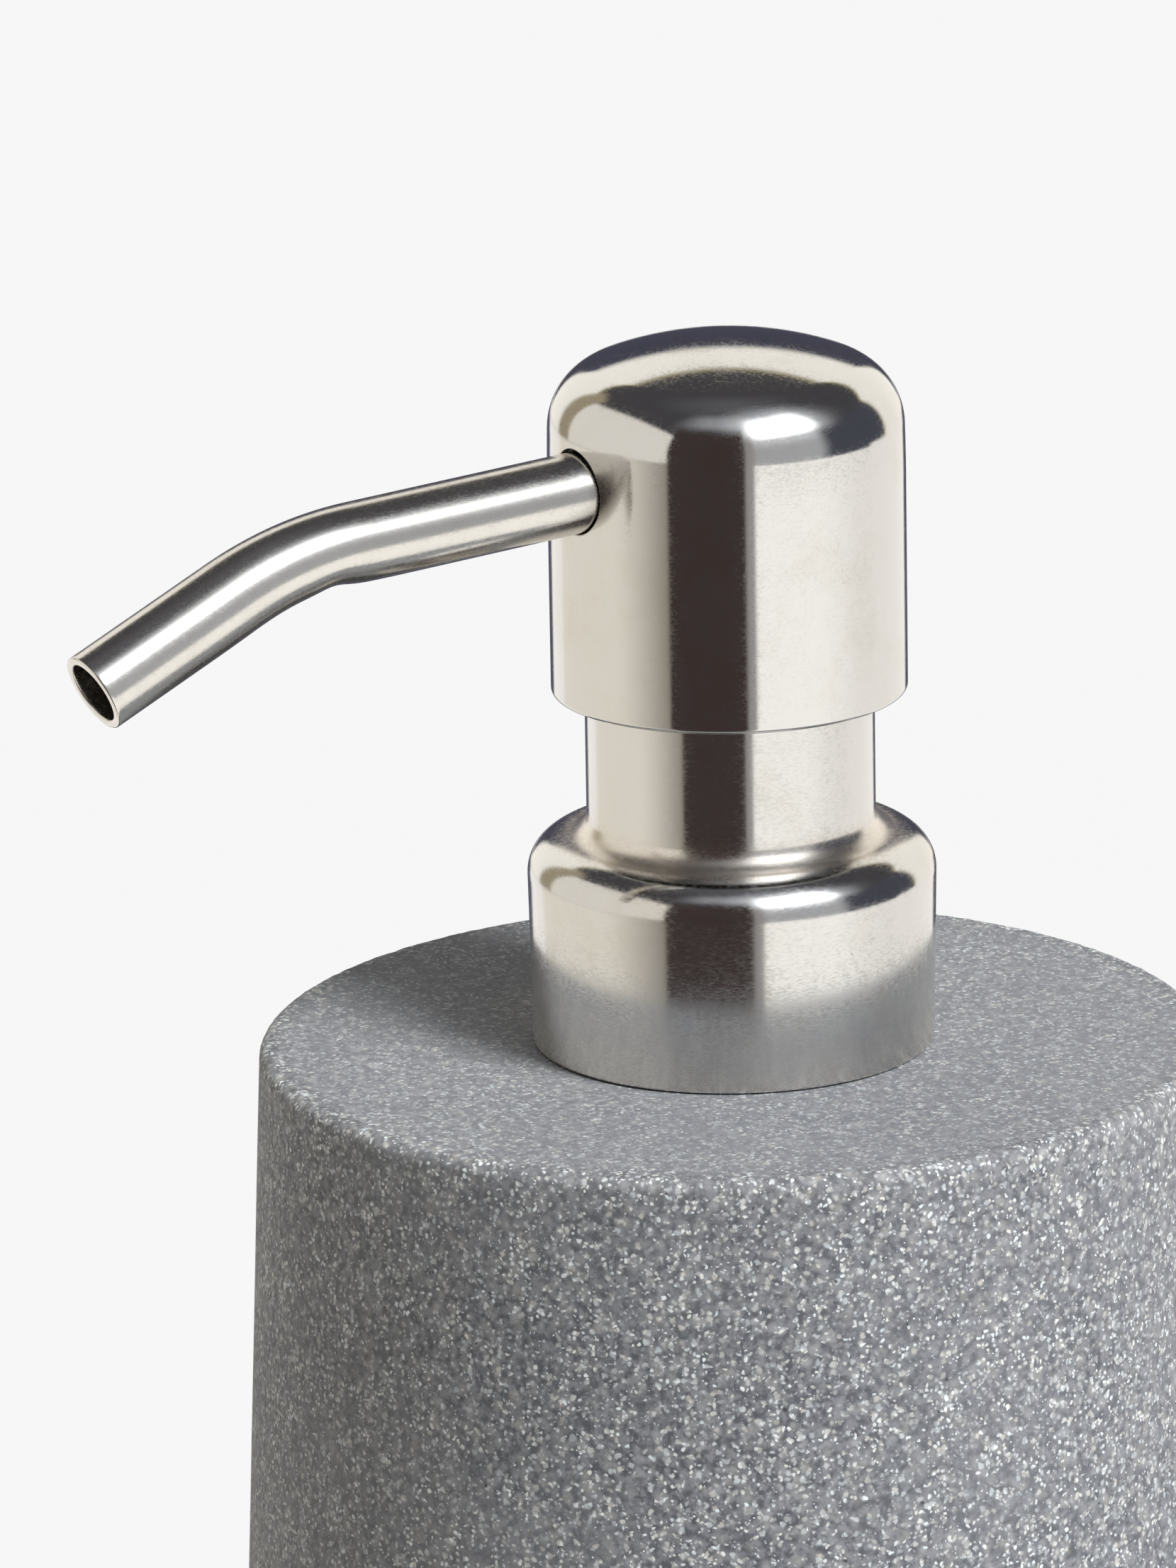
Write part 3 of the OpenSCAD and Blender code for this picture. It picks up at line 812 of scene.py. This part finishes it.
STEEL_WARM = (0.600, 0.575, 0.530)
STEEL_SATIN = (0.72, 0.665, 0.60)
SATIN = 0.20
TUBE_CLEAN = (0.662, 0.640, 0.605)

# Grains of each kind: cells to a millimetre, share of the cells that hold one, and the grain's
# radius and softness in cell widths.
DEEP_GRAINS = (0.95, 0.75, 0.46, 0.34)
MID_GRAINS = (1.75, 0.72, 0.44, 0.15)
CHIPS = (2.45, 0.58, 0.40, 0.10)
SPARKS = (3.9, 0.10, 0.28, 0.10)
PORES = (1.3, 0.06, 0.17, 0.04)


def flecks(g, point, per_mm, share, radius, soft):
    """Grains scattered one to a cell: (mask, random colour). share of the cells hold one.
    radius and soft are in cell widths."""
    distance, colour = g.cells(point, per_mm)
    pick, size, _ = g.parts(colour)
    there = g.math("LESS_THAN", pick, share)
    reach = g.ramp(size, 0.0, 1.0, radius * 0.55, radius, smooth=False)
    edge = g.math("SUBTRACT", reach, distance)
    mask = g.ramp(edge, -soft, soft)
    return g.math("MULTIPLY", mask, there), colour


def make_stone(name, lightness):
    """Cast stone: a grey matrix full of pale, cyan-white and beige grains, some of them under
    the surface, with tiny bright points and a few pores."""
    material, g = new_material(name)
    point = g.place()
    broad = bend_point(g, point, 1.7, 0.50)
    crumbled = bend_point(g, broad, 4.5, 0.15)
    clouds = g.noise(point, 0.42, 3.0, 0.6)
    patches = g.noise(point, 0.045, 2.0, 0.5)
    wear = g.attribute("wear")
    dense = g.ramp(clouds, 0.33, 0.66, 0.45, 1.0)
    dense = g.math("ADD", dense, g.math("MULTIPLY", wear, 0.12))

    speckle = g.noise(point, 1.5, 4.0, 0.62)
    matrix = g.mix(g.ramp(speckle, 0.36, 0.66), STONE_DARK, STONE_MID)
    matrix = g.mix(g.ramp(patches, 0.35, 0.65, 0.0, 0.35), matrix, STONE_MID)
    deep, deep_colour = flecks(g, broad, *DEEP_GRAINS)
    _, _, deep_tint = g.parts(deep_colour)
    deep_shade = g.mix(deep_tint, STONE_DEEP, STONE_DEEP_WARM)
    colour = g.mix(g.math("MULTIPLY", deep, g.math("MULTIPLY", dense, 0.55)), matrix, deep_shade)
    mid, mid_colour = flecks(g, crumbled, *MID_GRAINS)
    _, mid_depth, mid_tint = g.parts(mid_colour)
    mid_shade = g.mix(mid_tint, STONE_BEIGE, STONE_CYAN)
    mid = g.math("MULTIPLY", mid, g.math("MULTIPLY", dense, g.ramp(mid_depth, 0.0, 1.0, 0.35, 0.9)))
    colour = g.mix(mid, colour, mid_shade)
    moved = g.vector("ADD", crumbled, (7.3 * MM, 1.9 * MM, 4.1 * MM))
    chips, chip_colour = flecks(g, moved, *CHIPS)
    _, chip_depth, chip_tint = g.parts(chip_colour)
    chip_shade = g.mix(chip_tint, STONE_CREAM, STONE_WHITE)
    chips = g.math("MULTIPLY", chips, g.math("MULTIPLY", dense, g.ramp(chip_depth, 0.0, 1.0, 0.5, 1.0)))
    colour = g.mix(chips, colour, chip_shade)
    points, _ = flecks(g, crumbled, *SPARKS)
    colour = g.mix(g.math("MULTIPLY", points, 0.8), colour, STONE_SPARK)
    pores, _ = flecks(g, crumbled, *PORES)
    colour = g.mix(g.math("MULTIPLY", pores, 0.8), colour, STONE_PORE)
    colour = g.mix(g.math("MULTIPLY", wear, 0.06), colour, STONE_CREAM)
    sanded = g.attribute("sanded")
    colour = g.mix(g.math("MULTIPLY", sanded, 0.36), colour, STONE_DUST)
    colour = g.mix(1.0, colour, (lightness, lightness, lightness), "MULTIPLY")

    grain = g.noise(point, 5.5, 3.0, 0.6)
    relief = g.math("ADD", grain, g.math("MULTIPLY", chips, 0.5))
    relief = g.math("SUBTRACT", relief, g.math("MULTIPLY", pores, 2.5))
    normal = g.bump(relief, 0.016)
    roughness = g.ramp(g.math("ADD", chips, grain), 0.3, 1.6, 0.60, 0.42)
    g.surface(colour, roughness, normal, Specular_IOR_Level=0.42)
    return material


def bend_point(g, point, per_mm, reach_mm):
    """The point pushed about by smooth noise, which turns round cells into irregular grains."""
    node = g.node("ShaderNodeTexNoise")
    g.feed(node.inputs["Vector"], point)
    node.inputs["Scale"].default_value = per_mm / MM
    node.inputs["Detail"].default_value = 1.0
    push = g.vector("SUBTRACT", node.outputs["Color"], (0.5, 0.5, 0.5))
    return g.vector("ADD", point, g.vector("SCALE", push, reach_mm * MM))


def make_steel(name, sharp, hazy, along=(1.0, 1.0, 1.0), depth_mm=0.0016, lathe=0.0,
               clean=(0.645, 0.638, 0.625)):
    """Polished drawn stainless steel: patches of mirror between a fine haze of polishing marks,
    faint heat and water stains and hairline scratches. along stretches the marks, and lathe is
    how much more the marks round the axis blur what it mirrors up and down than sideways."""
    material, g = new_material(name)
    point = g.place()
    stains = g.noise(point, 0.16, 4.0, 0.62)
    mottle = g.noise(point, 1.1, 3.0, 0.65)
    grain = g.noise(g.place(along), 8.0, 2.0, 0.65)
    hairs = hairlines(g)
    colour = g.mix(g.ramp(stains, 0.46, 0.72, 0.0, 0.55), clean, STEEL_WARM)
    colour = g.mix(g.math("MULTIPLY", hairs, 0.10), colour, (0.80, 0.79, 0.77))
    haze = g.math("ADD", grain, g.math("MULTIPLY", g.math("SUBTRACT", mottle, 0.5), 0.35))
    haze = g.math("ADD", haze, g.math("MULTIPLY", g.math("SUBTRACT", stains, 0.5), 0.25))
    shine = g.ramp(haze, 0.36, 0.74, sharp, hazy)
    shine = g.math("ADD", shine, g.math("MULTIPLY", hairs, 0.10))
    satin = g.attribute("satin")
    colour = g.mix(g.math("MULTIPLY", satin, 0.9), colour, STEEL_SATIN)
    shine = g.math("ADD", shine, g.math("MULTIPLY", satin, SATIN))
    relief = g.math("ADD", g.math("MULTIPLY", grain, 0.4), g.math("MULTIPLY", mottle, 0.6))
    relief = g.math("SUBTRACT", relief, g.math("MULTIPLY", hairs, 0.5))
    normal = g.bump(relief, depth_mm)
    if lathe > 0:
        around = g.node("ShaderNodeTangent", direction_type="RADIAL", axis="Z").outputs[0]
        g.surface(colour, shine, normal, around, Metallic=1.0,
                  Anisotropic=lathe, Anisotropic_Rotation=0.25)
    else:
        g.surface(colour, shine, normal, Metallic=1.0)
    return material


def hairlines(g):
    """A few long, very thin scratches in two directions, as a mask."""
    total = None
    for stretch, seed in (((0.9, 0.9, 0.045), 3.0), ((0.06, 0.07, 1.0), 11.0)):
        point = g.vector("ADD", g.place(stretch), (seed * MM, seed * MM, seed * MM))
        wave = g.noise(point, 2.2, 1.0, 0.4)
        line = g.ramp(g.math("ABSOLUTE", g.math("SUBTRACT", wave, 0.5)), 0.0, 0.006, 1.0, 0.0)
        chance = g.ramp(g.noise(g.place(), 0.11, 1.0), 0.52, 0.66)
        line = g.math("MULTIPLY", line, chance)
        total = line if total is None else g.math("MAXIMUM", total, line)
    return total


def make_plastic(name, colour, shade, roughness, texture_per_mm, depth_mm, **uniform):
    """Moulded plastic: a slight flow mottle in colour and gloss, and the tool's fine texture."""
    material, g = new_material(name)
    point = g.place()
    flow = g.noise(point, 0.12, 3.0, 0.55)
    skin = g.noise(point, texture_per_mm, 3.0, 0.6)
    scuffs = hairlines(g)
    tint = g.mix(g.ramp(flow, 0.35, 0.65), colour, shade)
    gloss = g.ramp(skin, 0.3, 0.7, roughness, roughness + 0.10)
    gloss = g.math("ADD", gloss, g.math("MULTIPLY", scuffs, 0.15))
    normal = g.bump(skin, depth_mm)
    g.surface(tint, gloss, normal, **uniform)
    return material


def make_foam(name, colour, pore_colour, per_mm):
    """Closed-cell foam: a fine skin of cell domes with darker dimples between them."""
    material, g = new_material(name)
    distance, cell = g.cells(g.place(), per_mm)
    pick, _, _ = g.parts(cell)
    dome = g.ramp(distance, 0.15, 0.65, 1.0, 0.0)
    wear = g.noise(g.place(), 0.2, 3.0, 0.6)
    tint = g.mix(dome, pore_colour, colour)
    tint = g.mix(g.math("MULTIPLY", pick, 0.25), tint, colour)
    tint = g.mix(g.ramp(wear, 0.5, 0.75, 0.0, 0.25), tint, pore_colour)
    roughness = g.ramp(wear, 0.3, 0.7, 0.75, 0.95)
    g.surface(tint, roughness, g.bump(dome, 0.05), Specular_IOR_Level=0.3)
    return material


# ---- Stage: camera, floor, lights and the soft studio room that the steel reflects ----

CAMERA_AZIMUTH = math.radians(-30.7)
CAMERA_ELEVATION = math.radians(15.86)
CAMERA_ROLL = math.radians(-1.0)
CAMERA_DISTANCE = 0.830
CAMERA_LENS = 244.1
AIM_HEIGHT = 0.020
AIM_LEFT = 0.01115
AIM_UP = 0.0005


def make_camera():
    """The camera at the photograph's angle, looking a little left of the pump's axis."""
    e, rho = CAMERA_ELEVATION, CAMERA_ROLL
    forward = Vector((0, math.cos(e), -math.sin(e)))
    level = Vector((1, 0, 0))
    upright = Vector((0, math.sin(e), math.cos(e)))
    right = level * math.cos(rho) + upright * math.sin(rho)
    up = upright * math.cos(rho) - level * math.sin(rho)
    aim = Vector((0, 0, BOTTLE_TOP * MM + AIM_HEIGHT)) - right * AIM_LEFT + up * AIM_UP
    place = aim - forward * CAMERA_DISTANCE
    axes = Matrix((right, up, -forward)).transposed().to_4x4()
    data = bpy.data.cameras.new("camera")
    data.lens = CAMERA_LENS
    data.sensor_width = 36.0
    data.clip_start, data.clip_end = 0.05, 30.0
    camera = bpy.data.objects.new("camera", data)
    turn = Matrix.Rotation(CAMERA_AZIMUTH, 4, "Z")
    camera.matrix_world = turn @ Matrix.Translation(place) @ axes
    bpy.context.scene.collection.objects.link(camera)
    bpy.context.scene.camera = camera


def studio_direction(azimuth, elevation):
    """Unit vector towards a place in the studio, in degrees; azimuth 0 is the camera's side."""
    a = math.radians(azimuth) + CAMERA_AZIMUTH
    e = math.radians(elevation)
    return Vector((math.sin(a) * math.cos(e), -math.cos(a) * math.cos(e), math.sin(e)))


def make_floor():
    """A wide pale floor. Steel doesn't mirror it, because the studio's cards reach below it."""
    builder = MeshBuilder()
    rows = [[builder.add((0, 0, 0), (0, 0, 1))]]
    for radius in (60, 120, 250, 500, 1000, 2500, 6000, 14000):
        row = []
        for i in range(96):
            a = 2 * math.pi * i / 96
            row.append(builder.add((radius * math.cos(a), radius * math.sin(a), 0), (0, 0, 1)))
        rows.append(row)
    for a, b in zip(rows, rows[1:]):
        builder.strip(a, b, flip=True)
    floor = builder.build("studio_floor")
    material, g = new_material("studio_floor")
    soft = g.noise(g.place(), 0.004, 2.0, 0.5)
    shade = g.ramp(soft, 0.3, 0.7, 0.985, 1.0)
    diffuse = g.node("ShaderNodeBsdfDiffuse")
    g.feed(diffuse.inputs["Color"], g.mix(shade, (0.0, 0.0, 0.0), FLOOR_COLOUR))
    glow = g.node("ShaderNodeEmission")
    glow.inputs["Color"].default_value = (*FLOOR_GLOW, 1.0)
    both = g.node("ShaderNodeAddShader")
    g.tree.links.new(diffuse.outputs[0], both.inputs[0])
    g.tree.links.new(glow.outputs[0], both.inputs[1])
    out = g.node("ShaderNodeOutputMaterial")
    g.tree.links.new(both.outputs[0], out.inputs["Surface"])
    floor.data.materials.append(material)
    floor.visible_glossy = False
    floor.visible_diffuse = False


FLOOR_COLOUR = (0.06, 0.06, 0.06)
FLOOR_GLOW = (0.816, 0.813, 0.812)
BACKDROP = (0.93, 0.93, 0.93)
KEY_AZIMUTH = 48.0
KEY_ELEVATION = 44.0
KEY_ANGLE = 22.0
KEY_POWER = 5.9


def make_key_light():
    """The soft key from the right, in front and above. Steel mirrors the studio's own softbox."""
    data = bpy.data.lights.new("key", "SUN")
    data.energy = KEY_POWER
    data.angle = math.radians(KEY_ANGLE)
    data.color = (1.0, 1.0, 1.0)
    key = bpy.data.objects.new("key", data)
    towards = studio_direction(KEY_AZIMUTH, KEY_ELEVATION)
    key.rotation_mode = "QUATERNION"
    key.rotation_quaternion = towards.to_track_quat("Z", "Y")
    key.visible_glossy = False
    bpy.context.scene.collection.objects.link(key)


# Cards of the studio: (azimuth, half width, its softness, lowest and highest elevation, softness
# below and above, how far the top edge drops towards the sides), all in degrees, and the colour.
CARDS = [
    # grey walls above the cards, lighter towards the light
    (45, 34, 30, 34, 74, 12, 14, 0, (0.44, 0.46, 0.50)),
    (-8, 26, 18, 46, 68, 8, 8, 0, (0.38, 0.39, 0.42)),
    # backdrop behind the object, with its warm upper edge
    (180, 60, 1.5, -95, 44, 1, 1.2, 14, (0.34, 0.29, 0.15)),
    (180, 58, 2, -95, 42, 1, 1.5, 13, (1.18, 1.14, 1.05)),
    # warm post between the backdrop and the left card
    (-129, 8, 3, -95, 40, 1, 3, 0, (0.42, 0.36, 0.25)),
    # left card
    (-80, 42, 1.5, -95, 44, 1, 2.5, 11, (0.98, 0.935, 0.86)),
    # grey wall between the softbox and the table
    (45, 34, 9, -95, 34, 1, 4, 0, (0.52, 0.53, 0.55)),
    # softbox, with the glow round it
    (40, 36, 18, 22, 64, 10, 12, 0, (0.85, 0.88, 0.93)),
    (43, 24, 9, 32, 56, 6, 10, 0, (4.4, 4.5, 4.6)),
    # dark flag on the right
    (93, 27, 6, -95, 30, 1, 9, 0, (0.080, 0.085, 0.110)),
    # black flags behind, just outside the picture
    (180, 17, 2, -95, 26, 1, 3, 8, (0.07, 0.07, 0.10)),
    # the pale table all round, below the cards, in the camera's shade on the left
    (-90, 90, 2, -95, -8, 1, 1.5, 0, (0.20, 0.175, 0.14)),
    (-125, 73, 30, -95, -8, 1, 1.5, 0, (1.02, 0.965, 0.86)),
    (165, 60, 3, -95, -8, 1, 1.5, 0, (1.15, 1.115, 1.06)),
    (64, 52, 3, -95, -10.5, 1, 1.2, 0, (1.15, 1.115, 1.06)),
    (42, 36, 22, -95, -10.5, 1, 1.2, 0, (1.35, 1.325, 1.265)),
    # the dark room far behind, seen only along the outlines
    (180, 22, 3, -95, -9, 1, 1.5, 0, (0.10, 0.10, 0.14)),
    # the grey edge of the right card, and the dark gap behind the camera
    (13, 4, 1.5, -95, 34, 1, 12, 0, (0.40, 0.385, 0.38)),
    (-14, 25, 1.5, -95, 44, 1, 10, 0, (0.062, 0.046, 0.044)),
]
ROOM = (0.075, 0.072, 0.078)
CEILING = (0.13, 0.13, 0.145)
COOLING = (1.02, 1.045, 1.09)


def card_mask(g, azimuth, elevation, card):
    """Where one card is seen: 1 inside it, soft at its edges."""
    middle, half, soft, low, high, soft_low, soft_high, bow, _ = card
    off = g.math("WRAP", g.math("SUBTRACT", azimuth, middle), 180.0, -180.0)
    off = g.math("ABSOLUTE", off)
    across = g.ramp(off, half + soft, half - soft)
    share = g.math("DIVIDE", off, float(half))
    drop = g.math("MULTIPLY", g.math("MULTIPLY", share, share), float(bow))
    level = g.math("ADD", elevation, drop)
    under = g.ramp(level, high + soft_high, high - soft_high)
    over = g.ramp(elevation, low - soft_low, low + soft_low)
    return g.math("MULTIPLY", across, g.math("MULTIPLY", under, over))


def make_studio():
    """The room as the steel mirrors it: a dark ceiling, pale cards and a softbox. The camera
    sees a plain pale backdrop instead."""
    world = bpy.data.worlds.new("studio")
    world.use_nodes = True
    bpy.context.scene.world = world
    g = Graph(world.node_tree)
    direction = g.node("ShaderNodeTexCoord").outputs["Generated"]
    split = g.node("ShaderNodeSeparateXYZ")
    g.feed(split.inputs[0], direction)
    x, y, z = split.outputs
    angle = g.math("ARCTAN2", x, g.math("MULTIPLY", y, -1.0))
    azimuth = g.math("SUBTRACT", g.math("DEGREES", angle), math.degrees(CAMERA_AZIMUTH))
    elevation = g.math("DEGREES", g.math("ARCSINE", z))
    colour = g.mix(g.ramp(elevation, 60.0, 90.0), ROOM, CEILING)
    for card in CARDS:
        colour = g.mix(card_mask(g, azimuth, elevation, card), colour, card[-1])
    path = g.node("ShaderNodeLightPath")
    cooled = g.mix(1.0, colour, COOLING, "MULTIPLY")
    colour = g.mix(path.outputs["Is Diffuse Ray"], colour, cooled)
    light = g.node("ShaderNodeBackground")
    g.feed(light.inputs["Color"], colour)
    plain = g.node("ShaderNodeBackground")
    g.feed(plain.inputs["Color"], BACKDROP)
    both = g.node("ShaderNodeMixShader")
    g.tree.links.new(path.outputs["Is Camera Ray"], both.inputs[0])
    g.tree.links.new(light.outputs[0], both.inputs[1])
    g.tree.links.new(plain.outputs[0], both.inputs[2])
    out = g.node("ShaderNodeOutputWorld")
    g.tree.links.new(both.outputs[0], out.inputs["Surface"])


# ---- Putting it together ----

def paint(node, material):
    """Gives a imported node, or a piece, one material."""
    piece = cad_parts[node] if isinstance(node, str) else node
    piece.data.materials.clear()
    piece.data.materials.append(material)


def stand_for(piece, node, body, material):
    """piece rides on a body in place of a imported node."""
    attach(piece, body)
    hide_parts(node)
    paint(piece, material)
    return piece


bpy.context.scene.view_settings.view_transform = "Standard"

stone = make_stone("cast_stone", 1.0)
stone_back = make_stone("cast_stone_plate", 0.92)
head_steel = make_steel("head_steel", 0.060, 0.18, (0.45, 0.45, 1.0), 0.0005, lathe=0.5)
collar_steel = make_steel("collar_steel", 0.10, 0.22, (0.30, 0.30, 1.0), 0.0005, lathe=0.7)
tube_steel = make_steel("tube_steel", 0.16, 0.29, (0.3, 1.0, 1.0), 0.0009, clean=TUBE_CLEAN)
wire_steel = make_steel("wire_steel", 0.18, 0.34)
ball_steel = make_steel("ball_steel", 0.05, 0.15)
natural = make_plastic(
    "natural_polypropylene", (0.56, 0.57, 0.555), (0.63, 0.64, 0.62), 0.30, 1.5, 0.006,
    Subsurface_Weight=0.25, Subsurface_Radius=(0.002, 0.002, 0.0018), Subsurface_Scale=0.5)
seal_plastic = make_plastic(
    "soft_polyethylene", (0.62, 0.63, 0.62), (0.68, 0.69, 0.68), 0.38, 2.0, 0.008,
    Subsurface_Weight=0.3, Subsurface_Radius=(0.002, 0.002, 0.002), Subsurface_Scale=0.5)
dark_plastic = make_plastic(
    "black_polypropylene", (0.022, 0.022, 0.024), (0.030, 0.030, 0.032), 0.42, 1.2, 0.02)
tube_plastic = make_plastic(
    "milky_tube", (0.66, 0.68, 0.67), (0.72, 0.73, 0.72), 0.26, 0.8, 0.004,
    Subsurface_Weight=0.35, Subsurface_Radius=(0.003, 0.003, 0.003), Subsurface_Scale=0.6,
    Transmission_Weight=0.22, IOR=1.49)
pad_foam = make_foam("pad_foam", (0.045, 0.045, 0.050), (0.018, 0.018, 0.020), 2.2)
washer_foam = make_foam("washer_foam", (0.60, 0.63, 0.65), (0.46, 0.49, 0.52), 2.8)

stand_for(make_bottle(), "bottle_body", "bottle", stone)
stand_for(make_collar(), "collar_shell", "collar", collar_steel)
stand_for(make_dome(), "dome_shell", "head", head_steel)
stand_for(make_spout(), "spout", "head", tube_steel)
spring = stand_for(make_spring(), "return_spring", "pump", wire_steel)
foot_foam = stand_for(make_foot_pad(), "foot_pad", "bottle", pad_foam)
washer = stand_for(make_gasket(), "neck_gasket", "gasket", washer_foam)

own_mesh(spring)

paint("base_plate", stone_back)
for name in ("neck_insert", "pump_cylinder", "cylinder_cap", "ball_cage", "piston_stem", "stem"):
    paint(name, natural)
paint("piston", seal_plastic)
paint("dip_tube", tube_plastic)
paint("inlet_ball", ball_steel)
paint("head_core", dark_plastic)
paint("thread_cap", dark_plastic)

make_camera()
make_floor()
make_key_light()
make_studio()
